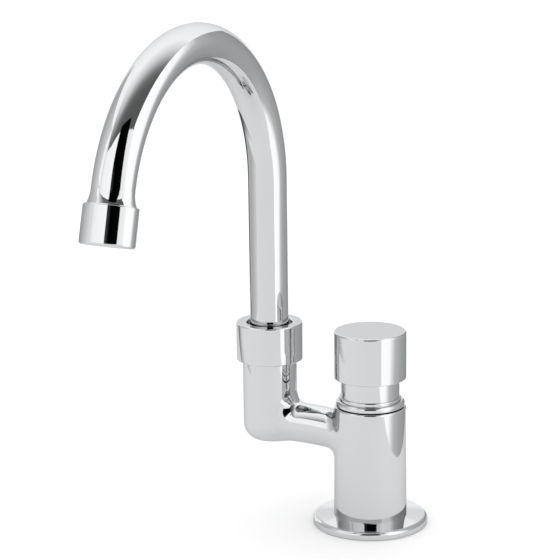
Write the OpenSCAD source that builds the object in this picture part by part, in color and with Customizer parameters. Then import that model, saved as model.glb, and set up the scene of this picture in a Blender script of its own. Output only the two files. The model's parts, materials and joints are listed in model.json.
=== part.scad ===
// Deck-mounted push-button faucet with a side arm and a swivelling gooseneck spout.
// Origin: centre of the base flange's underside, on the deck. +Z is up, the spout points to -Y,
// and the arm that carries the spout runs to -X. All sizes are in millimetres.

/* [Base flange] */
// Outer diameter of the flange that covers the deck hole
flange_d = 56; // [50:0.5:70]
// Height of the flange where the barrel stands on it
flange_h = 5; // [4.5:0.1:5.5]
// Height of the flange's rim
flange_rim_h = 3.9; // [3.2:0.1:4.2]

/* [Barrel] */
// Diameter of the barrel at its foot
barrel_foot_d = 35.6; // [34.5:0.1:36]
// Diameter of the barrel at its top
barrel_top_d = 34.8; // [34:0.1:35.4]
// Height of the barrel's top edge above the deck
barrel_top = 59.6; // [59:0.1:59.8]

/* [Side arm and spout socket] */
// Distance from the barrel's axis to the spout's axis
arm_length = 54.2; // [50:0.1:64]
// Diameter of the side arm
arm_d = 19.8; // [18:0.1:22]
// Height of the arm's axis
arm_z = 46; // [45:0.1:47]
// Diameter of the spout socket
socket_d = 27; // [26:0.1:27.8]
// Radius of the rounded corner under the socket
elbow_corner_r = 8.5; // [4:0.5:10]

/* [Spout collar] */
// Diameter of the round coupling nut
collar_d = 32.8; // [31:0.1:36]
// Height of the nut's lower edge
collar_bottom = 77; // [76.5:0.1:78]
// Height of the nut's top face
collar_top = 96; // [95:0.1:98]
// Diameter of the hole that the spout turns in
collar_mouth_d = 22.4; // [20.6:0.1:23]

/* [Gooseneck] */
// Outer diameter of the spout's tube
tube_d = 19; // [18.6:0.1:19.2]
// Wall of the spout's tube
tube_wall = 1; // [0.8:0.1:1.2]
// Height at which the tube starts to bend
bend_start_z = 167.5; // [140:0.5:220]
// Bend radius on the tube's centre line
bend_r = 73; // [60:0.5:90]
// Angle that the tube is bent through
bend_sweep = 164.5; // [155:0.5:175]
// Length of the flared end above the aerator
flare_length = 6; // [5:0.1:7]
// How much the flare grows in radius
flare_growth = 1.4; // [1.2:0.1:1.5]

/* [Aerator] */
// Outer diameter of the aerator's housing
aerator_d = 24.1; // [23.8:0.1:26]
// Height of the aerator's housing
aerator_h = 17.4; // [17:0.1:20]

/* [Push button] */
// Diameter of the push cap
cap_d = 35.1; // [34:0.1:37]
// Height of the push cap's lower edge at rest
cap_bottom = 73.8; // [73.2:0.1:75]
// Height of the push cap's top face at rest
cap_top = 97; // [96.6:0.1:99]
// Diameter of the neck that the cap slides on
neck_d = 28.6; // [28:0.1:28.8]
// Travel of the button
stroke = 8; // [6:0.5:8]

/* [Deck mounting] */
// Outer diameter of the threaded shank, a half-inch pipe thread
shank_d = 20.9; // [20.8:0.05:21]
// Length of the shank below the deck's surface
shank_length = 52; // [50:1:80]
// Thickness of the deck that the nut is drawn up to
deck_thickness = 25; // [10:1:26]

/* [Hidden] */

$fn = 96;
// Overrun of a cutting shape past the face that it cuts
over = 0.5;
// Clearance on the radius between a shaft and the hole that it moves in
running = 0.08;

// Clearance on the radius between a seal ring and the bore that it moves in
seal_gap = 0.03;
// What stays free between the button's stops when it is pressed
pressed_gap = 0.7;

// Levels inside the barrel, from the shank up to the bonnet
shank_top = 14.5;
web_bottom = 16;
cage_bottom = 18;
seat_z = 33;
seat_plate_top = 36;
chamber_floor_bottom = 43;
cage_neck_bottom = 34.5;
cage_neck_top = 50;
cage_top = 55;
deck_bottom = 61.5;
deck_top = 65;

// Levels of the button's parts at rest, from the stem's foot up
stem_foot = 24;
disc_bottom = 26.9;
disc_floor = 29.7;
stem_shoulder = 32.15;
lower_clip_z = 53.7;
clip_h = 0.8;
piston_bottom = 56.5;
piston_top = 60;
boss_bottom = 87.5;
cap_ceiling = 92.8;

// Levels that the button's travel sets
chamber_floor_top = lower_clip_z - stroke - pressed_gap;
neck_top = cap_ceiling - stroke - pressed_gap;

// Radii inside the barrel
shank_r = shank_d / 2;
web_hole_r = 6;
cage_bore_r = 13.2;
cage_r = cage_bore_r - 0.1;
cage_neck_r = 11;
cage_chamber_r = 9.3;
seat_hole_r = 5.5;
bonnet_thread_r = 14.5;
chamber_r = 9.5;
stem_r = 3;
thread_r = 2.2;
clip_groove_r = 2.5;
disc_r = 8.4;
valve_washer_r = 7.8;

// Seal grooves: heights of their middles, heights and floor radii
groove_h = 2.4;
cage_seal_levels = [24, 52.5];
cage_groove_r = cage_r - 1.5;
bonnet_groove_h = 1.6;
bonnet_groove_r = bonnet_thread_r - 1.4;
stem_groove_z = 63.3;
stem_groove_h = 1.8;
stem_groove_r = stem_r + 1.6;
spout_seal_levels = [70.2, 77.2];

// Waterway from the barrel to the spout
waterway_z = 45;
waterway_r = 5;
well_r = 8;
well_bottom = 39;

// Spout socket and the parts that turn in it
socket_r = socket_d / 2;
socket_x = -arm_length;
socket_bottom = arm_z - arm_d / 2 - 0.4;
socket_thread_bottom = 79;
socket_top = 88;
socket_thread_r = 14.1;
journal_bore_r = 11.8;
journal_bore_bottom = 62;
journal_r = journal_bore_r - 0.06;
spout_groove_r = journal_r - 1.4;
journal_bottom = 64;
tube_end_z = 66;
journal_shoulder_r = 12.9;
washer_bottom = 90.5;
washer_top = 92;
// Play above and below the journal's shoulder
end_play = 0.1;
washer_gap = 0.4;

// Bonnet and cap
neck_r = neck_d / 2;
bonnet_ring_bottom = 60;
bonnet_ring_top = 62.9;
bonnet_ring_r = 16.8;
bonnet_step_top = 64.6;
bonnet_step_r = 15;
spring_pocket_r = 11.6;
cap_r = cap_d / 2;
cap_bore_r = neck_r + 0.12;

// Outlet end of the spout, measured along the flow from the end of the bend
tube_r = tube_d / 2;
tube_bore_r = tube_r - tube_wall;
// Radius of the arc that leaves the tube's wall smoothly and has the flare's growth at its end
flare_arc_r = (flare_length * flare_length + flare_growth * flare_growth) / (2 * flare_growth);
aerator_thread_r = 10.9;
housing_top = flare_length + 0.3;
housing_end = housing_top + aerator_h;
ferrule_end = 14;
seal_end = 15.4;
screen_top = housing_end - 2.1;
screen_end = housing_end - 1.5;
mouth_r = 8.7;
seal_outer_r = 10.35;

// Gasket, and the washers and nut under the deck
gasket_h = 1.6;
gasket_r = 24;
flange_hole_r = shank_r + 0.4;
shank_bore_r = 6.5;
washer_hole_r = shank_r + 0.3;
deck_washer_r = 17;
rubber_washer_h = 3;
steel_washer_h = 1.5;
lock_nut_h = 8;
steel_washer_top = -deck_thickness - rubber_washer_h;
lock_nut_top = steel_washer_top - steel_washer_h;
lock_nut_bottom = lock_nut_top - lock_nut_h;

// Return spring: round wire, its first and last turns laid close
wire_r = 0.6;
coil_r = 8.6;
spring_turns = 7.5;
// Rise of a close turn, as a share of the wire's diameter
close_pitch = 1.02;
turn_steps = 16;
wire_sides = 8;

// Material outside a quarter round, to take off a profile's corner.
// at is the corner, into gives the two directions that lead into the material.
module corner_cut(at, into, r)
  translate(at)
    mirror([into[0] < 0 ? 1 : 0, 0])
      mirror([0, into[1] < 0 ? 1 : 0])
        difference() {
          translate([-over, -over]) square(r + over);
          translate([r, r]) circle(r);
        }

// Plain ring from radius inner to radius outer, between two heights
module ring(inner, outer, low, high)
  rotate_extrude()
    translate([inner, low]) square([outer - inner, high - low]);

// O-ring at height z, pressed flat where it meets the radii inner and outer
module o_ring(inner, outer, z) {
  squeeze = 1.06;
  cord_r = (outer - inner) / 2 * squeeze;
  rotate_extrude()
    intersection() {
      translate([(inner + outer) / 2, z]) circle(cord_r, $fn = 32);
      translate([inner, z - cord_r]) square([outer - inner, 2 * cord_r]);
    }
}

// Hexagonal nut across flats af, bored to radius hole_r
module hex_nut(af, hole_r, low, high)
  difference() {
    translate([0, 0, low]) cylinder(r = af / 2 / cos(30), h = high - low, $fn = 6);
    translate([0, 0, low - over]) cylinder(r = hole_r, h = high - low + 2 * over);
  }

// Places its children at the spout's axis
module at_socket() translate([socket_x, 0, 0]) children();

// Places its children at the end of the bend, with +Z along the flow
module at_outlet()
  translate([socket_x, bend_r * (cos(bend_sweep) - 1), bend_start_z + bend_r * sin(bend_sweep)])
    rotate([bend_sweep, 0, 0])
      children();

// Body casting: barrel, side arm, elbow and spout socket in one piece

// Outside of the barrel
module barrel_skin() {
  top_edge = 0.8;
  rotate_extrude()
    difference() {
      polygon([[0, flange_h], [barrel_foot_d / 2, flange_h],
               [barrel_top_d / 2, barrel_top], [0, barrel_top]]);
      corner_cut([barrel_top_d / 2, barrel_top], [-1, -1], top_edge);
    }
}

// Outside of the arm, with a gentle trumpet that dips where it grows out of the barrel
module arm_skin() {
  arm_r = arm_d / 2;
  trumpet_r = 50;
  trumpet_end = 32;
  trumpet_growth = 4;
  trumpet_dip = 5;
  // How far the trumpet's thin end is sunk in the arm
  trumpet_sink = 0.1;
  translate([0, 0, arm_z]) rotate([0, -90, 0]) cylinder(r = arm_r, h = arm_length);
  translate([-trumpet_end, 0, arm_z]) rotate([0, -90 + trumpet_dip, 0])
    rotate_extrude()
      difference() {
        translate([0, -trumpet_end]) square([arm_r + trumpet_growth, trumpet_end - 2]);
        translate([arm_r + trumpet_r - trumpet_sink, 0]) circle(trumpet_r);
      }
}

// Outside of the socket, rounded underneath, with the collar's thread above
module socket_skin()
  at_socket() {
    rotate_extrude()
      difference() {
        translate([0, socket_bottom]) square([socket_r, socket_thread_bottom - socket_bottom]);
        corner_cut([socket_r, socket_bottom], [-1, 1], elbow_corner_r);
      }
    translate([0, 0, socket_thread_bottom])
      cylinder(r = socket_thread_r, h = socket_top - socket_thread_bottom);
  }

// Quarter of a pipe bend that fills the inner corner between the socket and the arm
module elbow_fill() {
  fill_r = 5.5;
  // How far the bend's ends are sunk in the arm and the socket
  sink = 0.08;
  bend_tube_r = arm_d / 2 - sink;
  translate([socket_x + socket_r + fill_r - sink, 0, arm_z + arm_d / 2 + fill_r - sink])
    rotate([-90, 90, 0])
      rotate_extrude(angle = 90)
        translate([fill_r + bend_tube_r, 0]) circle(bend_tube_r);
}

// Everything that is bored out of the casting
module body_bores() {
  translate([0, 0, flange_h - over])
    cylinder(r = shank_r, h = web_bottom - flange_h + over);
  cylinder(r = web_hole_r, h = cage_bottom + over);
  translate([0, 0, cage_bottom])
    cylinder(r = cage_bore_r, h = barrel_top - cage_bottom + over);
  translate([0, 0, cage_top])
    cylinder(r = bonnet_thread_r, h = barrel_top - cage_top + over);
  translate([-(cage_bore_r - 2), 0, waterway_z])
    rotate([0, -90, 0])
      cylinder(r = waterway_r, h = arm_length - cage_bore_r + 2);
  at_socket() {
    translate([0, 0, well_bottom])
      cylinder(r = well_r, h = journal_bore_bottom - well_bottom + over);
    translate([0, 0, journal_bore_bottom])
      cylinder(r = journal_bore_r, h = socket_top - journal_bore_bottom + over);
  }
}

module faucet_body()
  color("silver")
    difference() {
      union() {
        barrel_skin();
        arm_skin();
        socket_skin();
        elbow_fill();
      }
      body_bores();
    }

// Deck side: flange, gasket, shank, washers, nut and strainer

// Turned flange: its top falls gently from the barrel's foot to a rounded rim
module base_flange() {
  flange_r = flange_d / 2;
  flat_r = barrel_foot_d / 2 + 0.6;
  foot_edge = 0.7;
  rim_edge = 1.7;
  color("silver")
    rotate_extrude()
      difference() {
        polygon([[flange_hole_r, gasket_h], [gasket_r, gasket_h], [gasket_r, 0],
                 [flange_r, 0], [flange_r, flange_rim_h],
                 [flat_r, flange_h], [flange_hole_r, flange_h]]);
        corner_cut([flange_r, 0], [-1, 1], foot_edge);
        corner_cut([flange_r, flange_rim_h], [-1, -1], rim_edge);
      }
}

module deck_gasket()
  color("dimgray") ring(flange_hole_r, gasket_r, 0, gasket_h);

// Threaded tube, open right through, with a seat for the strainer and a run-out groove
// that parts the nut's thread from the supply hose's thread
module mounting_shank() {
  strainer_seat = 1.5;
  end_chamfer = 1;
  groove_depth = 0.7;
  groove_w = 1;
  color("goldenrod")
    rotate_extrude()
      difference() {
        translate([shank_bore_r, -shank_length])
          square([shank_r - shank_bore_r, shank_length + shank_top]);
        translate([shank_bore_r - over, -shank_length - over])
          square([strainer_seat + over, strainer_seat + over]);
        translate([shank_r, -shank_length]) rotate(45) square(end_chamfer * sqrt(2), center = true);
        translate([shank_r - groove_depth, lock_nut_bottom - groove_w])
          square([groove_depth + over, groove_w]);
      }
}

module shank_washer()
  color("firebrick") ring(shank_bore_r, shank_r - 0.3, shank_top, web_bottom);

module rubber_deck_washer()
  color("dimgray")
    ring(washer_hole_r, deck_washer_r, steel_washer_top, -deck_thickness);

module steel_deck_washer()
  color("lightsteelblue") ring(washer_hole_r, deck_washer_r, lock_nut_top, steel_washer_top);

module lock_nut()
  color("goldenrod") hex_nut(30, shank_r, lock_nut_bottom, lock_nut_top);

// Slotted thimble that stands in the shank's inlet end
module inlet_strainer() {
  rim_r = 8;
  rim_h = 1.5;
  thimble_r = 4.6;
  thimble_h = 11;
  wall = 0.8;
  slots = 8;
  slot_w = 1;
  // Plain wall left below and above the slots
  slot_land = 1.4;
  bottom = -shank_length;
  color("white")
    difference() {
      union() {
        translate([0, 0, bottom]) cylinder(r = rim_r, h = rim_h);
        translate([0, 0, bottom + rim_h - over])
          cylinder(r = thimble_r, h = thimble_h - rim_h + over);
      }
      translate([0, 0, bottom - over])
        cylinder(r = thimble_r - wall, h = thimble_h - wall + over);
      for (turn = [0 : slots - 1])
        rotate([0, 0, turn * 360 / slots])
          translate([0, -slot_w / 2, bottom + rim_h + slot_land])
            cube([thimble_r + over, slot_w, thimble_h - rim_h - 2 * slot_land]);
    }
}

// Valve inside the barrel: cage, seals and bonnet

// Turned cage: inlet chamber, seat, outlet windows and metering chamber
module valve_cage() {
  // Raised lip round the seat
  lip_w = 1.1;
  lip_h = 0.8;
  windows = 4;
  window_w = 6;
  window_bottom = seat_plate_top + 1;
  window_top = chamber_floor_bottom - 0.5;
  color("ivory")
    difference() {
      rotate_extrude()
        difference() {
          translate([0, cage_bottom]) square([cage_r, cage_top - cage_bottom]);
          // Inlet chamber, with the lip left standing
          translate([-over, cage_bottom - over])
            square([cage_chamber_r + over, seat_z - lip_h - cage_bottom + over]);
          translate([seat_hole_r + lip_w, seat_z - lip_h - over])
            square([cage_chamber_r - seat_hole_r - lip_w, lip_h + over]);
          // Throat
          translate([-over, seat_z - lip_h - over])
            square([seat_hole_r + over, seat_plate_top - seat_z + lip_h + 2 * over]);
          // Outlet chamber
          translate([-over, seat_plate_top])
            square([cage_chamber_r + over, chamber_floor_bottom - seat_plate_top]);
          // Stem hole and metering chamber
          translate([-over, chamber_floor_bottom - over])
            square([stem_r + running + over, chamber_floor_top - chamber_floor_bottom + 2 * over]);
          translate([-over, chamber_floor_top])
            square([chamber_r + over, cage_top - chamber_floor_top + over]);
          // Waist that the water runs round, and the two seal grooves
          translate([cage_neck_r, cage_neck_bottom])
            square([cage_r - cage_neck_r + over, cage_neck_top - cage_neck_bottom]);
          for (z = cage_seal_levels)
            translate([cage_groove_r, z - groove_h / 2])
              square([cage_r - cage_groove_r + over, groove_h]);
        }
      for (turn = [0 : windows - 1])
        rotate([0, 0, 45 + turn * 360 / windows])
          translate([stem_r + 3, -window_w / 2, window_bottom])
            cube([cage_neck_r, window_w, window_top - window_bottom]);
    }
}

module cage_o_rings()
  color("black")
    for (z = cage_seal_levels) o_ring(cage_groove_r, cage_bore_r - seal_gap, z);

// Bonnet with the neck that guides the cap
module bonnet_sleeve() {
  ring_top_edge = 1.6;
  ring_bottom_edge = 0.6;
  step_edge = 0.6;
  neck_edge = 0.8;
  color("silver")
    rotate_extrude()
      difference() {
        union() {
          translate([0, cage_top]) square([bonnet_thread_r, bonnet_ring_bottom - cage_top + over]);
          difference() {
            translate([0, bonnet_ring_bottom])
              square([bonnet_ring_r, bonnet_ring_top - bonnet_ring_bottom]);
            corner_cut([bonnet_ring_r, bonnet_ring_top], [-1, -1], ring_top_edge);
            corner_cut([bonnet_ring_r, bonnet_ring_bottom], [-1, 1], ring_bottom_edge);
          }
          difference() {
            translate([0, bonnet_ring_top - over])
              square([bonnet_step_r, bonnet_step_top - bonnet_ring_top + over]);
            corner_cut([bonnet_step_r, bonnet_step_top], [-1, -1], step_edge);
          }
          difference() {
            translate([0, bonnet_step_top - over])
              square([neck_r, neck_top - bonnet_step_top + over]);
            corner_cut([neck_r, neck_top], [-1, -1], neck_edge);
          }
        }
        translate([-over, cage_top - over]) square([chamber_r + over, deck_bottom - cage_top + over]);
        translate([-over, deck_bottom - over])
          square([stem_r + running + over, deck_top - deck_bottom + 2 * over]);
        translate([-over, stem_groove_z - stem_groove_h / 2])
          square([stem_groove_r + over, stem_groove_h]);
        translate([-over, deck_top]) square([spring_pocket_r + over, neck_top - deck_top + over]);
        // Undercut for the seal on the barrel's top edge
        translate([bonnet_groove_r, bonnet_ring_bottom - bonnet_groove_h])
          square([bonnet_thread_r - bonnet_groove_r + over, bonnet_groove_h]);
      }
}

module bonnet_o_ring()
  color("black")
    o_ring(bonnet_groove_r, bonnet_thread_r - seal_gap, bonnet_ring_bottom - bonnet_groove_h / 2);

module stem_o_ring()
  color("black") o_ring(stem_r + seal_gap, stem_groove_r, stem_groove_z);

// Button: everything that goes down with the cap

module push_cap() {
  top_edge = 0.9;
  bottom_edge = 0.35;
  boss_wall = 2;
  color("silver")
    rotate_extrude() {
      difference() {
        translate([0, cap_bottom]) square([cap_r, cap_top - cap_bottom]);
        translate([-over, cap_bottom - over])
          square([cap_bore_r + over, cap_ceiling - cap_bottom + over]);
        corner_cut([cap_r, cap_top], [-1, -1], top_edge);
        corner_cut([cap_r, cap_bottom], [-1, 1], bottom_edge);
      }
      // Boss that the stem is screwed into
      translate([clip_groove_r, boss_bottom])
        square([stem_r + boss_wall - clip_groove_r, cap_ceiling - boss_bottom + over]);
    }
}

module plunger_stem() {
  shoulder_r = 4;
  shoulder_top = seat_z + 0.2;
  color("lightsteelblue")
    rotate_extrude()
      difference() {
        union() {
          translate([0, stem_foot]) square([thread_r, seat_z - stem_foot]);
          translate([0, stem_shoulder]) square([shoulder_r, shoulder_top - stem_shoulder]);
          translate([0, seat_z]) square([stem_r, boss_bottom - seat_z]);
          translate([0, boss_bottom - over]) square([clip_groove_r, cap_ceiling - boss_bottom]);
        }
        for (z = [lower_clip_z, piston_top])
          translate([clip_groove_r, z]) square([stem_r - clip_groove_r + over, clip_h]);
      }
}

module metering_piston()
  color("ivory") ring(stem_r, chamber_r - running, piston_bottom, piston_top);

// Cup seal with its lip pointing down into the chamber
module piston_cup_seal() {
  seal_bottom = lower_clip_z + clip_h;
  outer_r = chamber_r - running;
  lip_gap = 1.4;
  lip_h = 1.2;
  lip_w = 1.1;
  color("black")
    rotate_extrude()
      difference() {
        translate([stem_r, seal_bottom]) square([outer_r - stem_r, piston_bottom - seal_bottom]);
        translate([outer_r - lip_w - lip_gap, seal_bottom - over]) square([lip_gap, lip_h + over]);
      }
}

module stem_clips() {
  clip_r = stem_r + 1.8;
  color("lightsteelblue")
    for (z = [lower_clip_z, piston_top]) ring(clip_groove_r, clip_r, z, z + clip_h);
}

// Brass cup that carries the valve's rubber
module valve_disc() {
  rim_h = 1.2;
  color("goldenrod")
    rotate_extrude()
      difference() {
        translate([thread_r, disc_bottom])
          square([disc_r - thread_r, disc_floor + rim_h - disc_bottom]);
        translate([thread_r - over, disc_floor])
          square([valve_washer_r - thread_r + over, rim_h + over]);
      }
}

module valve_washer()
  color("black") ring(thread_r, valve_washer_r, disc_floor, stem_shoulder);

module stem_nut() {
  nut_h = 2.5;
  color("lightsteelblue") hex_nut(7, thread_r, disc_bottom - nut_h, disc_bottom);
}

// Compression spring between the bonnet and the cap

// Height of the wire after a number of turns: the first and last turn rise by one wire each
function coil_height(turns) =
  let (close = 2 * wire_r * close_pitch, low = deck_top + wire_r, high = cap_ceiling - wire_r)
  turns < 1 ? low + close * turns
  : turns > spring_turns - 1 ? high - close * (spring_turns - turns)
  : low + close + (high - low - 2 * close) * (turns - 1) / (spring_turns - 2);

module return_spring() {
  steps = spring_turns * turn_steps;
  points = [
    for (step = [0 : steps], side = [0 : wire_sides - 1])
      let (turns = step / turn_steps, around = 360 * turns, across = 360 * side / wire_sides,
           r = coil_r + wire_r * cos(across))
      [r * cos(around), r * sin(around), coil_height(turns) + wire_r * sin(across)]
  ];
  walls = [
    for (step = [0 : steps - 1], side = [0 : wire_sides - 1])
      let (next = (side + 1) % wire_sides, here = step * wire_sides, there = here + wire_sides)
      [here + side, there + side, there + next, here + next]
  ];
  first_end = [for (side = [0 : wire_sides - 1]) side];
  last_end = [for (side = [0 : wire_sides - 1]) steps * wire_sides + wire_sides - 1 - side];
  color("gray") polyhedron(points, concat([first_end, last_end], walls), convexity = 10);
}

// Spout: collar, washer, tube, journal and aerator

module spout_collar() {
  top_edge = 0.7;
  bottom_edge = 0.5;
  mouth_edge = 1;
  color("silver")
    at_socket()
      rotate_extrude()
        difference() {
          translate([0, collar_bottom]) square([collar_d / 2, collar_top - collar_bottom]);
          translate([-over, collar_bottom - over])
            square([socket_thread_r + over, washer_top - collar_bottom + over]);
          translate([-over, washer_top - over])
            square([collar_mouth_d / 2 + over, collar_top - washer_top + 2 * over]);
          corner_cut([collar_d / 2, collar_top], [-1, -1], top_edge);
          corner_cut([collar_d / 2, collar_bottom], [-1, 1], bottom_edge);
          corner_cut([collar_mouth_d / 2, collar_top], [1, -1], mouth_edge);
        }
}

module thrust_washer()
  color("white")
    at_socket() ring(tube_r + washer_gap, socket_thread_r, washer_bottom, washer_top);

// One drawn tube: straight riser, bend and flared end
module gooseneck_tube()
  color("silver") {
    at_socket() ring(tube_bore_r, tube_r, tube_end_z, bend_start_z);
    translate([socket_x, -bend_r, bend_start_z])
      rotate([90, 0, 90])
        rotate_extrude(angle = bend_sweep)
          translate([bend_r, 0])
            difference() {
              circle(tube_r);
              circle(tube_bore_r);
            }
    at_outlet()
      rotate_extrude()
        intersection() {
          translate([tube_bore_r - over, 0])
            square([flare_growth + tube_wall + 2 * over, flare_length]);
          translate([tube_r + flare_arc_r, 0])
            difference() {
              circle(flare_arc_r + tube_wall);
              circle(flare_arc_r);
            }
        }
  }

// Turned sleeve on the tube's foot, with two seal grooves and the shoulder that the collar holds
module spout_journal()
  color("goldenrod")
    at_socket()
      rotate_extrude()
        difference() {
          union() {
            translate([tube_bore_r, journal_bottom])
              square([journal_r - tube_bore_r, washer_bottom - end_play - journal_bottom]);
            translate([tube_bore_r, socket_top + end_play])
              square([journal_shoulder_r - tube_bore_r, washer_bottom - socket_top - 2 * end_play]);
          }
          translate([tube_bore_r - over, tube_end_z])
            square([tube_wall + over, washer_bottom - tube_end_z + over]);
          for (z = spout_seal_levels)
            translate([spout_groove_r, z - groove_h / 2])
              square([journal_r - spout_groove_r + over, groove_h]);
        }

module spout_o_rings()
  color("black")
    at_socket()
      for (z = spout_seal_levels) o_ring(spout_groove_r, journal_bore_r - seal_gap, z);

// Threaded ring brazed into the tube's flared end
module outlet_ferrule() {
  spigot_wall = 0.7;
  spigot_h = 1.2;
  color("goldenrod")
    at_outlet() {
      ring(tube_bore_r, aerator_thread_r, flare_length, ferrule_end);
      ring(tube_bore_r, tube_bore_r + spigot_wall, flare_length - spigot_h, flare_length + over);
    }
}

module aerator_housing() {
  top_edge = 0.4;
  bottom_edge = 1.3;
  mouth_edge = 0.5;
  seal_room = 0.05;
  color("silver")
    at_outlet()
      rotate_extrude()
        difference() {
          translate([0, housing_top]) square([aerator_d / 2, aerator_h]);
          translate([-over, housing_top - over])
            square([aerator_thread_r + over, ferrule_end - housing_top + over]);
          translate([-over, ferrule_end - over])
            square([seal_outer_r + seal_room + over, screen_end - ferrule_end + over]);
          translate([-over, screen_end - over])
            square([mouth_r + over, housing_end - screen_end + 2 * over]);
          corner_cut([aerator_d / 2, housing_top], [-1, 1], top_edge);
          corner_cut([aerator_d / 2, housing_end], [-1, -1], bottom_edge);
          corner_cut([mouth_r, housing_end], [1, -1], mouth_edge);
        }
}

module aerator_seal()
  color("black") at_outlet() ring(8, seal_outer_r, ferrule_end, seal_end);

// Moulded insert: a drilled plate over an open chamber
module aerator_insert() {
  insert_r = 10.3;
  wall = 1.7;
  plate_h = 2;
  jets = 12;
  jet_r = 0.8;
  jet_circle_r = 6.2;
  color("white")
    at_outlet()
      difference() {
        translate([0, 0, seal_end]) cylinder(r = insert_r, h = screen_top - seal_end);
        translate([0, 0, seal_end + plate_h])
          cylinder(r = insert_r - wall, h = screen_top - seal_end);
        for (turn = [0 : jets - 1])
          rotate([0, 0, turn * 360 / jets])
            translate([jet_circle_r, 0, seal_end - over])
              cylinder(r = jet_r, h = plate_h + 2 * over, $fn = 16);
      }
}

// Square-mesh screen across the mouth
module aerator_screen() {
  screen_r = 9.6;
  pitch = 2.2;
  bar = 0.6;
  // Solid rim round the mesh, and the number of holes each way from the middle
  rim_w = 2.4;
  reach = 3;
  color("lightsteelblue")
    at_outlet()
      translate([0, 0, screen_top])
        linear_extrude(screen_end - screen_top)
          difference() {
            circle(screen_r);
            for (column = [-reach : reach], row = [-reach : reach])
              if (norm([column, row]) * pitch < screen_r - rim_w)
                translate([column * pitch, row * pitch]) square(pitch - bar, center = true);
          }
}

faucet_body();
base_flange();
deck_gasket();
mounting_shank();
shank_washer();
rubber_deck_washer();
steel_deck_washer();
lock_nut();
inlet_strainer();
valve_cage();
cage_o_rings();
bonnet_sleeve();
bonnet_o_ring();
stem_o_ring();
spout_collar();
thrust_washer();
push_cap();
plunger_stem();
metering_piston();
piston_cup_seal();
stem_clips();
valve_disc();
valve_washer();
stem_nut();
return_spring();
gooseneck_tube();
spout_journal();
spout_o_rings();
outlet_ferrule();
aerator_housing();
aerator_seal();
aerator_insert();
aerator_screen();
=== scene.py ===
# %% [markdown]
# # A chromed push-button faucet
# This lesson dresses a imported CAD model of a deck-mounted, self-closing faucet. The CAD model holds
# every piece at its real size and place, and it stays as it is. Here each piece gets its finish, the
# cast body gets the soft blends that a drawn solid lacks, and a white light tent is built round it
# all, because polished chrome shows nothing but what stands round it.
# All lengths are metres, +Z is up, and the origin is the middle of the flange's underside.

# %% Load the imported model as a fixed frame
import json
import math

import bpy
import numpy as np
from mathutils import Matrix, Quaternion, Vector


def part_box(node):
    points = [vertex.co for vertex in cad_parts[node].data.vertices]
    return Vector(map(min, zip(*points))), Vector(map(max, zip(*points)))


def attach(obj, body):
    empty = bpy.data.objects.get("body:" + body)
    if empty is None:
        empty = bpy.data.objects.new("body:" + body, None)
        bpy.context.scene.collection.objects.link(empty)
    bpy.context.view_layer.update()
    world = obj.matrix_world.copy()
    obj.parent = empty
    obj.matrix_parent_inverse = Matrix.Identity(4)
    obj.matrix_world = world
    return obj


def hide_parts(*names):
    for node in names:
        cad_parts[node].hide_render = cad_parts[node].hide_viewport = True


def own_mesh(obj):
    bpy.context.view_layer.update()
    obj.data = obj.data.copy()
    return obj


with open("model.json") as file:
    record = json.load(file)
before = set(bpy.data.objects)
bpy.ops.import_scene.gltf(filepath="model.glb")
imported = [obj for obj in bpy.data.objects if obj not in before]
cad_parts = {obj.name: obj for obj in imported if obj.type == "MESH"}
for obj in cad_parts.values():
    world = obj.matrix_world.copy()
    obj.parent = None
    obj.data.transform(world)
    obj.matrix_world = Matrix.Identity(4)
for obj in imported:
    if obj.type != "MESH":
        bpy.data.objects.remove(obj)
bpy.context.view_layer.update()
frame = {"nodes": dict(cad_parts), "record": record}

MM = 0.001
nodes = frame["nodes"]
print("pieces in the frame:", len(nodes))

# %% [markdown]
# The camera stands where the photographer stood. The photograph is 560 pixels square and was taken
# with a long lens from just above the spout, a quarter turn round to the button's side. A long lens
# keeps upright lines almost parallel, which is why product photographers like one. The camera also
# leans by a fraction of a degree, as the photograph does.

# %% Camera at the photograph's angle
PHOTO_PIXELS = 560
FOCAL_PIXELS = 1961.8
SENSOR_MM = 36
CAMERA_AZIMUTH = math.radians(26.5)
CAMERA_ELEVATION = math.radians(13.59)
CAMERA_ROLL = math.radians(-0.7)
CAMERA_DISTANCE = 0.9376
CAMERA_TARGET = Vector((-0.0385, -0.0192, 0.1225))


def direction(azimuth, elevation):
    """Unit vector from the object: azimuth 0 is -Y and grows towards +X, both in radians."""
    level = math.cos(elevation)
    return Vector((math.sin(azimuth) * level, -math.cos(azimuth) * level, math.sin(elevation)))


camera_data = bpy.data.cameras.new("photo_camera")
camera_data.sensor_width = SENSOR_MM
camera_data.lens = SENSOR_MM * FOCAL_PIXELS / PHOTO_PIXELS
camera = bpy.data.objects.new("photo_camera", camera_data)
to_camera = direction(CAMERA_AZIMUTH, CAMERA_ELEVATION)
camera.location = CAMERA_TARGET + to_camera * CAMERA_DISTANCE
camera.rotation_mode = "QUATERNION"
camera.rotation_quaternion = (
    to_camera.to_track_quat("Z", "Y") @ Quaternion((0, 0, 1), CAMERA_ROLL)
)
bpy.context.scene.collection.objects.link(camera)
bpy.context.scene.camera = camera
print("lens", round(camera_data.lens, 1), "mm")

# %% [markdown]
# Colours are written as the hex values that a picture editor shows. The renderer works with linear
# light, so one function turns a hex value into linear red, green and blue. The Standard view leaves
# white paper white, as a catalogue photograph does.


# %% Colours
def linear(hex_colour):
    """Linear RGBA of an sRGB hex colour such as "#C6C7C8"."""
    levels = [int(hex_colour[i : i + 2], 16) / 255 for i in (1, 3, 5)]
    bent = [c / 12.92 if c <= 0.04045 else ((c + 0.055) / 1.055) ** 2.4 for c in levels]
    return (*bent, 1.0)


bpy.context.scene.view_settings.view_transform = "Standard"
bpy.context.scene.view_settings.look = "None"


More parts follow.
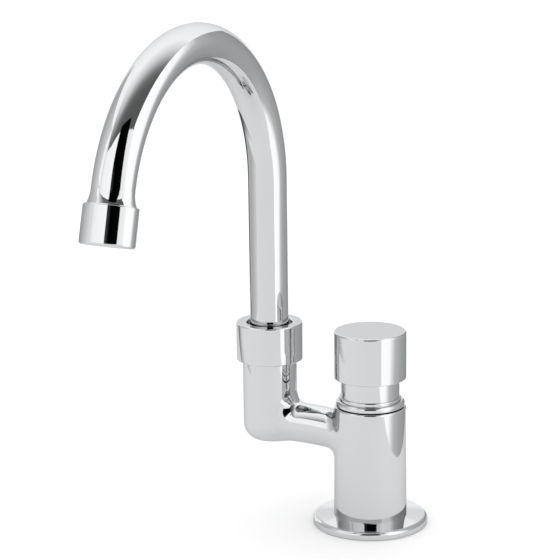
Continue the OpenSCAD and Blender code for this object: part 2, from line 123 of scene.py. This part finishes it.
# %% One helper for every shader node
def add_node(tree, kind, settings=None, values=None, links=None):
    """Adds a node. settings are its own properties, values go to its sockets, and links
    maps a socket to the (node, output) that feeds it."""
    made = tree.nodes.new(kind)
    for name, value in (settings or {}).items():
        setattr(made, name, value)
    for socket, value in (values or {}).items():
        made.inputs[socket].default_value = value
    for socket, (source, output) in (links or {}).items():
        tree.links.new(source.outputs[output], made.inputs[socket])
    return made


def new_material(name):
    """An empty material: its node tree holds only the output."""
    made = bpy.data.materials.new(name)
    made.use_nodes = True
    made.node_tree.nodes.clear()
    return made, made.node_tree


def finish_material(tree, shader):
    add_node(tree, "ShaderNodeOutputMaterial", links={"Surface": (shader, "BSDF")})


# %% [markdown]
# ## Polished chrome plate
# The visible pieces are brass with a bright nickel and chrome plate. Chrome reflects a little over
# half of the light, almost without colour and with a faint blue. Two things keep it from looking
# computed: buffing leaves a wave a few millimetres long and far less than a micrometre deep, and
# wiping leaves hairlines that only change the gloss. Both are drawn in object space, so that they
# keep their real size on every piece.


# %% Chrome
def chrome(name, wave_mm, wave_height_um, hairline_mm):
    """Chrome plate over brass. wave_mm is the length of the buffing wave under the plate."""
    made, tree = new_material(name)
    place = add_node(tree, "ShaderNodeTexCoord")
    wave = add_node(
        tree, "ShaderNodeTexNoise",
        values={"Scale": 1 / (wave_mm * MM), "Detail": 1.0, "Roughness": 0.4},
        links={"Vector": (place, "Object")},
    )
    bump = add_node(
        tree, "ShaderNodeBump",
        values={"Strength": 1.0, "Distance": wave_height_um * 1e-6},
        links={"Height": (wave, "Fac")},
    )
    hairlines = add_node(
        tree, "ShaderNodeTexNoise",
        values={"Scale": 1 / (hairline_mm * MM), "Detail": 3.0, "Roughness": 0.6},
        links={"Vector": (place, "Object")},
    )
    gloss = add_node(
        tree, "ShaderNodeMapRange",
        values={"From Min": 0.3, "From Max": 0.7, "To Min": 0.03, "To Max": 0.06},
        links={"Value": (hairlines, "Fac")},
    )
    shader = add_node(
        tree, "ShaderNodeBsdfPrincipled",
        values={
            "Base Color": linear("#CDCECF"),
            "Specular Tint": linear("#D6D7D8"),
            "Metallic": 1.0,
        },
        links={"Roughness": (gloss, "Result"), "Normal": (bump, "Normal")},
    )
    finish_material(tree, shader)
    return made


# Share of the light that this plate gives back, by which the studio's lights are set
CHROME_REFLECTS = linear("#CDCECF")[1]
finishes = {
    "chromed_brass_body": chrome("chrome_on_cast_brass", 9, 3, 1.2),
    "chromed_brass_flange": chrome("chrome_on_turned_flange", 14, 1, 1.0),
    "chromed_brass_bonnet": chrome("chrome_on_turned_bonnet", 14, 1, 1.0),
    "chromed_brass_collar": chrome("chrome_on_turned_collar", 14, 1, 1.0),
    "chromed_brass_cap": chrome("chrome_on_turned_cap", 14, 1, 1.0),
    "chromed_brass_tube": chrome("chrome_on_drawn_tube", 18, 1.5, 1.2),
    "chromed_brass_aerator": chrome("chrome_on_turned_aerator", 14, 1, 1.0),
}


# %% Bare metals
def bare_metal(name, colour, roughness, line_mm):
    """Turned or drawn metal: fine lines run round the piece, at line_mm."""
    made, tree = new_material(name)
    place = add_node(tree, "ShaderNodeTexCoord")
    lines = add_node(
        tree, "ShaderNodeTexWave",
        settings={"wave_type": "BANDS", "bands_direction": "Z"},
        values={"Scale": 1 / (line_mm * MM * 20), "Distortion": 0.6, "Detail": 2.0},
        links={"Vector": (place, "Object")},
    )
    gloss = add_node(
        tree, "ShaderNodeMapRange",
        values={"To Min": roughness * 0.7, "To Max": roughness * 1.3},
        links={"Value": (lines, "Fac")},
    )
    bump = add_node(
        tree, "ShaderNodeBump",
        values={"Strength": 0.2, "Distance": 2e-6},
        links={"Height": (lines, "Fac")},
    )
    shader = add_node(
        tree, "ShaderNodeBsdfPrincipled",
        values={"Base Color": linear(colour), "Metallic": 1.0},
        links={"Roughness": (gloss, "Result"), "Normal": (bump, "Normal")},
    )
    finish_material(tree, shader)
    return made


finishes["raw_brass"] = bare_metal("turned_brass", "#D9B26A", 0.25, 0.15)
finishes["stainless_steel"] = bare_metal("bright_stainless_steel", "#CFCDC8", 0.28, 0.15)
finishes["spring_steel"] = bare_metal("drawn_spring_wire", "#B9B8B5", 0.32, 0.1)


# %% Rubber, fibre and plastic
def soft_or_plastic(name, colour, roughness, grain_mm, grain_um, ior):
    """Moulded matt material with a fine grain of its own colour."""
    made, tree = new_material(name)
    place = add_node(tree, "ShaderNodeTexCoord")
    grain = add_node(
        tree, "ShaderNodeTexNoise",
        values={"Scale": 1 / (grain_mm * MM), "Detail": 4.0, "Roughness": 0.6},
        links={"Vector": (place, "Object")},
    )
    bump = add_node(
        tree, "ShaderNodeBump",
        values={"Strength": 0.5, "Distance": grain_um * 1e-6},
        links={"Height": (grain, "Fac")},
    )
    gloss = add_node(
        tree, "ShaderNodeMapRange",
        values={"To Min": roughness - 0.08, "To Max": roughness + 0.08},
        links={"Value": (grain, "Fac")},
    )
    shader = add_node(
        tree, "ShaderNodeBsdfPrincipled",
        values={"Base Color": linear(colour), "IOR": ior},
        links={"Roughness": (gloss, "Result"), "Normal": (bump, "Normal")},
    )
    finish_material(tree, shader)
    return made


finishes["foam_rubber"] = soft_or_plastic("closed_cell_foam_rubber", "#26272A", 0.85, 0.4, 40, 1.5)
finishes["washer_rubber"] = soft_or_plastic("moulded_washer_rubber", "#1F1F21", 0.7, 0.3, 15, 1.52)
finishes["seal_rubber"] = soft_or_plastic("greased_nitrile_rubber", "#111112", 0.35, 0.3, 5, 1.52)
finishes["fibre_washer"] = soft_or_plastic("vulcanised_fibre", "#8E3A2E", 0.6, 0.5, 20, 1.5)
finishes["white_plastic"] = soft_or_plastic("white_acetal", "#ECEBE6", 0.4, 0.6, 4, 1.48)
finishes["valve_plastic"] = soft_or_plastic("natural_acetal", "#E3DCC8", 0.42, 0.6, 4, 1.48)
print("finishes:", len(finishes))

# %% Give every CAD piece its finish
slots = {s["node"]: s["material_slot"] for s in frame["record"]["subparts"]}
for name, piece in nodes.items():
    piece.data.materials.clear()
    piece.data.materials.append(finishes[slots[name]])
# The ferrule was brazed into the tube before plating, so the chrome covers what shows of it
nodes["outlet_ferrule"].data.materials[0] = finishes["chromed_brass_tube"]
print("dressed:", len(slots))

# %% [markdown]
# ## The return spring
# The spring stands in the bonnet and carries the cap. A copy of the drawn spring takes its place and
# rides with the cap as one rigid piece, so it is driven down into the bonnet with the button.

# %% Spring that rides with the button
shortening_spring = bpy.data.objects.new("shortening_spring", nodes["return_spring"].data.copy())
bpy.context.scene.collection.objects.link(shortening_spring)
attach(shortening_spring, "push_button")
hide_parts("return_spring")
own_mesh(shortening_spring)

# %% [markdown]
# ## The body casting
# The barrel, the side arm and the spout socket are one brass casting, ground and buffed until each
# piece runs into the next without a line. A drawn solid meets itself along hard creases, and chrome
# shows every one. Subdivision would need a clean cage round a branching form, and a voxel remesh
# leaves steps that chrome shows too. So the casting is written as a distance: a function that gives,
# for each point of space, how far it is outside the metal. Two distances can be mixed where they
# meet, which is just what a buffing wheel does, and the surface is where the mix is zero.


# %% Distances from the casting's forms, in millimetres
def upright_cylinder(p, middle_x, low, high, radius, edge):
    """Distance from an upright cylinder whose edges are rounded by edge."""
    out = np.hypot(p[..., 0] - middle_x, p[..., 1]) - (radius - edge)
    along = np.abs(p[..., 2] - (low + high) / 2) - ((high - low) / 2 - edge)
    beyond = np.hypot(np.maximum(out, 0), np.maximum(along, 0))
    return beyond + np.minimum(np.maximum(out, along), 0) - edge


def buffed(a, b, reach):
    """Union of two distances, with a soft fillet that starts at reach from where they meet."""
    share = np.clip(0.5 + 0.5 * (b - a) / reach, 0, 1)
    return b + (a - b) * share - reach * share * (1 - share)


# %% The casting as one distance
casting_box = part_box("faucet_body")
BARREL_FOOT_R = casting_box[1].x / MM
BARREL_TOP_R = BARREL_FOOT_R - 0.4
BARREL_TOP = 59.6
BARREL_EDGE = 0.8
BARREL_FOOT = casting_box[0].z / MM
# The foot goes this far into the flange, so that the eye meets a clean joint
FOOT_SINK = 0.8
SOCKET_X = -54.2
SOCKET_R = 13.5
SOCKET_BOTTOM = 35.7
SOCKET_CORNER = 8.5
SOCKET_SKIRT_TOP = 79
SOCKET_THREAD_R = 14.1
SOCKET_TOP = casting_box[1].z / MM
ARM_R = 9.9
ARM_Z = 46
# The arm sinks a little on its way to the barrel
ARM_DIP_START = -36
ARM_DIP_SLOPE = 0.12
ARM_DIP_EASE = 20
BARREL_FILLET = 5
INNER_CORNER_FILLET = 6
UNDERSIDE_FILLET = 3


def casting_skin(p):
    x, y, z = p[..., 0], p[..., 1], p[..., 2]
    height = np.clip((z - BARREL_FOOT) / (BARREL_TOP - BARREL_FOOT), 0, 1)
    barrel_r = BARREL_FOOT_R + (BARREL_TOP_R - BARREL_FOOT_R) * height
    barrel = upright_cylinder(p, 0, -BARREL_TOP, BARREL_TOP, barrel_r, BARREL_EDGE)
    past = np.maximum(x - ARM_DIP_START, 0)
    arm_z = ARM_Z - ARM_DIP_SLOPE * past**2 / (past + ARM_DIP_EASE)
    arm = np.maximum(np.hypot(y, z - arm_z) - ARM_R, np.maximum(SOCKET_X - x, x))
    socket = upright_cylinder(
        p, SOCKET_X, SOCKET_BOTTOM, 2 * SOCKET_TOP, SOCKET_R, SOCKET_CORNER
    )
    rise = np.clip((z - ARM_Z + ARM_R) / (2 * ARM_R), 0, 1)
    corner = UNDERSIDE_FILLET + (INNER_CORNER_FILLET - UNDERSIDE_FILLET) * rise
    elbow = np.maximum(buffed(arm, socket, corner), z - SOCKET_SKIRT_TOP)
    skin = buffed(elbow, barrel, BARREL_FILLET)
    thread = upright_cylinder(
        p, SOCKET_X, SOCKET_SKIRT_TOP - 1, SOCKET_TOP, SOCKET_THREAD_R, 0.3
    )
    return np.minimum(np.maximum(skin, BARREL_FOOT - FOOT_SINK - z), thread)


# Bores, as place of the axis, lower end, upper end and radius
UPRIGHT_BORES = [
    (0, -1, 16, 10.45), (0, -1, 19, 6), (0, 18, 70, 13.2), (0, 55, 70, 14.5),
    (SOCKET_X, 39, 63, 8), (SOCKET_X, 62, 100, 11.8),
]
WATERWAY_R, WATERWAY_Z, WATERWAY_START = 5, 45, -11.2


def casting(p):
    metal = casting_skin(p)
    for middle_x, low, high, radius in UPRIGHT_BORES:
        metal = np.maximum(metal, -upright_cylinder(p, middle_x, low, high, radius, 0))
    across = np.hypot(p[..., 1], p[..., 2] - WATERWAY_Z) - WATERWAY_R
    ends = np.maximum(SOCKET_X - p[..., 0], p[..., 0] - WATERWAY_START)
    return np.maximum(metal, -np.maximum(across, ends))


# %% [markdown]
# The surface is found on a grid of points: each grid cell that the surface passes through gets one
# corner of the mesh, and each grid line that it crosses gets one face. Every corner is then slid
# along the slope of the distance until it lies on the surface, and that same slope is its normal,
# so the mirror image runs on without a facet however the faces lie.


# %% Mesh of a distance
def slope(distance, p, small=0.01):
    """Unit direction in which the distance grows fastest."""
    grown = [distance(p + small * axis) - distance(p - small * axis) for axis in np.eye(3)]
    steep = np.stack(grown, axis=-1)
    return steep / np.maximum(np.linalg.norm(steep, axis=-1, keepdims=True), 1e-9)


def mesh_of(distance, low, high, step, slides=6):
    """Corners, faces and normals of the surface where the distance is zero."""
    counts = [int(math.ceil((b - a) / step)) + 1 for a, b in zip(low, high)]
    lines = [a + step * np.arange(n) for a, n in zip(low, counts)]
    inside = distance(np.stack(np.meshgrid(*lines, indexing="ij"), axis=-1)) < 0
    cells = np.zeros([n - 1 for n in counts], int)
    for corner in range(8):
        shift = [corner >> bit & 1 for bit in range(3)]
        window = tuple(slice(d, n - 1 + d) for d, n in zip(shift, counts))
        cells += inside[window]
    crossed = np.argwhere((cells > 0) & (cells < 8))
    number = np.full(cells.shape, -1)
    number[tuple(crossed.T)] = np.arange(len(crossed))
    faces = []
    for axis in range(3):
        turn = [(axis + k) % 3 for k in range(3)]
        solid = inside.transpose(turn)
        index = number.transpose(turn)
        leaves = solid[:-1, 1:-1, 1:-1] & ~solid[1:, 1:-1, 1:-1]
        enters = ~solid[:-1, 1:-1, 1:-1] & solid[1:, 1:-1, 1:-1]
        round_edge = np.stack(
            [index[:, :-1, :-1], index[:, 1:, :-1], index[:, 1:, 1:], index[:, :-1, 1:]], axis=-1
        )
        faces.append(round_edge[leaves])
        faces.append(round_edge[enters][:, ::-1])
    corners = np.array(low) + step * (crossed + 0.5)
    for _ in range(slides):
        corners = corners - distance(corners)[:, None] * slope(distance, corners)
    return corners, np.concatenate(faces), slope(distance, corners)


# %% Buffed casting in place of the drawn one
GRID_MM = 0.8
MARGIN_MM = 2
corners, faces, normals = mesh_of(
    casting,
    [c / MM - MARGIN_MM for c in casting_box[0]],
    [c / MM + MARGIN_MM for c in casting_box[1]],
    GRID_MM,
)
casting_mesh = bpy.data.meshes.new("buffed_casting")
casting_mesh.from_pydata((corners * MM).tolist(), [], faces.tolist())
casting_mesh.shade_smooth()
casting_mesh.normals_split_custom_set_from_vertices(normals.tolist())
casting_mesh.materials.append(finishes["chromed_brass_body"])
buffed_casting = bpy.data.objects.new("buffed_casting", casting_mesh)
bpy.context.scene.collection.objects.link(buffed_casting)
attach(buffed_casting, "fixed_body")
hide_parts("faucet_body")
print("casting:", len(faces), "faces, worst miss",
      round(float(np.abs(casting(corners)).max()), 4), "mm")

# %% [markdown]
# ## The light tent
# Chrome is a mirror, so the studio is what the eye sees on it. The photograph was taken in a white
# tent on a white floor. Each tone on the chrome was followed back, by the mirror rule, to where it
# stands in the room: a dark slit that the camera looks in through, a white card on either side of
# it, side cards that fade to grey, and a ceiling that fades from white at the back to dark grey at
# the front. They are plain sheets that glow, and only the chrome sees them: the camera and the
# floor don't. Places are counted from the barrel, to the right and nearer, as the camera sees it.

# %% White world and floor
WORLD_LIGHT = 1.1
world = bpy.data.worlds.new("white_tent")
world.use_nodes = True
world.node_tree.nodes.clear()
tent = add_node(
    world.node_tree, "ShaderNodeBackground",
    values={"Color": (1.0, 1.0, 1.0, 1.0), "Strength": WORLD_LIGHT},
)
add_node(world.node_tree, "ShaderNodeOutputWorld", links={"Surface": (tent, "Background")})
bpy.context.scene.world = world

FLOOR_HALF = 3.0
floor_material, floor_tree = new_material("matt_white_floor")
floor_shader = add_node(
    floor_tree, "ShaderNodeBsdfPrincipled",
    values={"Base Color": linear("#FBFBFB"), "Roughness": 0.9},
)
finish_material(floor_tree, floor_shader)
floor_mesh = bpy.data.meshes.new("floor")
floor_mesh.from_pydata(
    [(x * FLOOR_HALF, y * FLOOR_HALF, 0) for x, y in ((-1, -1), (1, -1), (1, 1), (-1, 1))],
    [], [(0, 1, 2, 3)],
)
floor_mesh.materials.append(floor_material)
floor = bpy.data.objects.new("floor", floor_mesh)
bpy.context.scene.collection.objects.link(floor)


# %% A card that only the chrome sees
def in_studio(right, nearer, height):
    """A place counted from the barrel: metres to the right, nearer to the camera, and up."""
    return (
        direction(CAMERA_AZIMUTH + math.pi / 2, 0) * right
        + direction(CAMERA_AZIMUTH, 0) * nearer
        + Vector((0, 0, height))
    )


def ramp(tree, place, axis, tones, lean=0.0):
    """Tones along one axis of a card, from 0 to 1. lean shifts them with the card's height."""
    split = add_node(tree, "ShaderNodeSeparateXYZ", links={"Vector": (place, "Generated")})
    along = add_node(
        tree, "ShaderNodeMath",
        settings={"operation": "MULTIPLY_ADD"},
        values={1: lean},
        links={0: (split, "Y"), 2: (split, axis)},
    )
    made = add_node(tree, "ShaderNodeValToRGB", links={"Fac": (along, "Value")})
    stops = made.color_ramp.elements
    while len(stops) < len(tones):
        stops.new(0.5)
    for stop, (position, tone) in zip(stops, tones):
        stop.position = position
        stop.color = linear(tone)
    return made


def card(name, origin, along, up, tones, rising=((0.0, "#FFFFFF"),), lean=0.0):
    """Glowing sheet from origin, spanned by two vectors. Its tones are those that it shows in
    the chrome, and rising darkens it from its lower edge up."""
    made, tree = new_material(name)
    place = add_node(tree, "ShaderNodeTexCoord")
    level = ramp(tree, place, "X", tones, lean)
    height = ramp(tree, place, "Y", rising)
    both = add_node(
        tree, "ShaderNodeMix",
        settings={"data_type": "RGBA", "blend_type": "MULTIPLY"},
        values={0: 1.0},
        links={6: (level, "Color"), 7: (height, "Color")},
    )
    glow = add_node(
        tree, "ShaderNodeEmission",
        values={"Strength": 1 / CHROME_REFLECTS},
        links={"Color": (both, 2)},
    )
    add_node(tree, "ShaderNodeOutputMaterial", links={"Surface": (glow, "Emission")})
    mesh = bpy.data.meshes.new(name)
    mesh.from_pydata([(0, 0, 0), (1, 0, 0), (1, 1, 0), (0, 1, 0)], [], [(0, 1, 2, 3)])
    mesh.materials.append(made)
    sheet = bpy.data.objects.new(name, mesh)
    across = along.cross(up).normalized()
    placed = Matrix((along, up, across)).transposed().to_4x4()
    placed.translation = origin
    sheet.matrix_world = placed
    bpy.context.scene.collection.objects.link(sheet)
    sheet.visible_camera = False
    sheet.visible_diffuse = False
    sheet.visible_shadow = False
    return sheet


def standing_card(name, start, end, low, high, tones, rising=((0.0, "#FFFFFF"),), lean=0.0):
    """Upright card between two (right, nearer) places on the floor plan."""
    origin = in_studio(*start, low)
    along = in_studio(*end, low) - origin
    return card(name, origin, along, Vector((0, 0, high - low)), tones, rising, lean)


# %% Cards round the faucet
FRONT = 0.375
SLIT_LEFT, SLIT_DARK, SLIT_RIGHT = -0.16, -0.10, 0.125
FRONT_LOW, FRONT_HIGH, SLIT_HIGH = 0.15, 0.55, 0.64

standing_card("front_left_card", (-0.95, FRONT), (SLIT_LEFT, FRONT), FRONT_LOW, FRONT_HIGH,
              [(0.0, "#E0E0E0"), (0.6, "#F0F0F0"), (1.0, "#F6F6F6")])
standing_card("slit_edge", (SLIT_LEFT, FRONT), (SLIT_DARK, FRONT), FRONT_LOW, SLIT_HIGH,
              [(0.0, "#505050"), (1.0, "#303030")], [(0.0, "#FFFFFF"), (0.45, "#101010")])
standing_card("slit", (SLIT_DARK, FRONT), (SLIT_RIGHT, FRONT), FRONT_LOW, SLIT_HIGH,
              [(0.0, "#020202"), (1.0, "#080808")])
standing_card("front_right_card", (SLIT_RIGHT, FRONT), (0.45, FRONT), FRONT_LOW, 0.5,
              [(0.0, "#E6E6E6"), (1.0, "#F2F2F2")])
standing_card("right_card", (0.14, 0.226), (0.105, -0.3), 0.0, 0.36,
              [(0.0, "#FFFFFF"), (0.24, "#FAFAFA"), (0.34, "#B4B4B4"), (0.45, "#A0A0A0"),
               (1.0, "#929292")], lean=-0.25)
standing_card("left_card", (-0.45, 0.13), (-0.36, -0.35), 0.0, 0.5,
              [(0.0, "#D0D0D0"), (0.25, "#BCBCBC"), (0.6, "#A8A8A8"), (1.0, "#B4B4B4")])
# The flange sees the back card's lower part, and the cap's top the part above it
standing_card("back_card", (-1.6, -1.2), (1.6, -1.2), -0.2, 1.2,
              [(0.0, "#FFFFFF")], [(0.36, "#FFFFFF"), (0.42, "#E4E4E4")])
# On the left, past the edge of the white floor sheet, a grey sheet that only the chrome sees lies on
# the floor and darkens to the back. It is a painted reflection of a darker floor, because the floor
# itself is white all over. The lean keeps the painted dark near the sheet's edge, so that the cap
# shows it and the riser doesn't.
SHEET_LEFT, SHEET_FRONT, DARK_REFLECTION_CARD_REACH = -0.3, 0.04, 1.0
dark_reflection_corner = in_studio(SHEET_LEFT, SHEET_FRONT, MM)
card("painted_dark_floor_reflection", dark_reflection_corner,
     in_studio(SHEET_LEFT, SHEET_FRONT - DARK_REFLECTION_CARD_REACH, MM) - dark_reflection_corner,
     in_studio(SHEET_LEFT - DARK_REFLECTION_CARD_REACH, SHEET_FRONT, MM) - dark_reflection_corner,
     [(0.0, "#D7D7D7"), (0.1, "#B8B8B8"), (0.2, "#888888"), (0.36, "#505050")], lean=-2.0)
print("standing cards ready")

# %% Ceiling, fading along a line a little to the right of the camera
CEILING_HEIGHT = 0.6
FADE_TURN = math.radians(22)
CEILING_HALF = 1.5
arch_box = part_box("gooseneck_tube")
arch_middle = (arch_box[0] + arch_box[1]) / 2
fade_way = direction(CAMERA_AZIMUTH + FADE_TURN, 0)
side_way = direction(CAMERA_AZIMUTH + FADE_TURN + math.pi / 2, 0)
ceiling_corner = (
    Vector((arch_middle.x, arch_middle.y, CEILING_HEIGHT))
    - (fade_way + side_way) * CEILING_HALF
)
FADE = ((-0.10, "#F2F2F2"), (0.0, "#D7D7D7"), (0.065, "#B7B7B7"), (0.10, "#9C9C9C"),
        (0.135, "#808080"), (0.17, "#6A6A6A"), (0.22, "#5C5C5C"), (0.30, "#555555"))
card("ceiling", ceiling_corner, fade_way * 2 * CEILING_HALF, side_way * 2 * CEILING_HALF,
     [(0.5 + metres / (2 * CEILING_HALF), tone) for metres, tone in FADE])
print("ceiling fades over", FADE[-1][0] - FADE[0][0], "m")
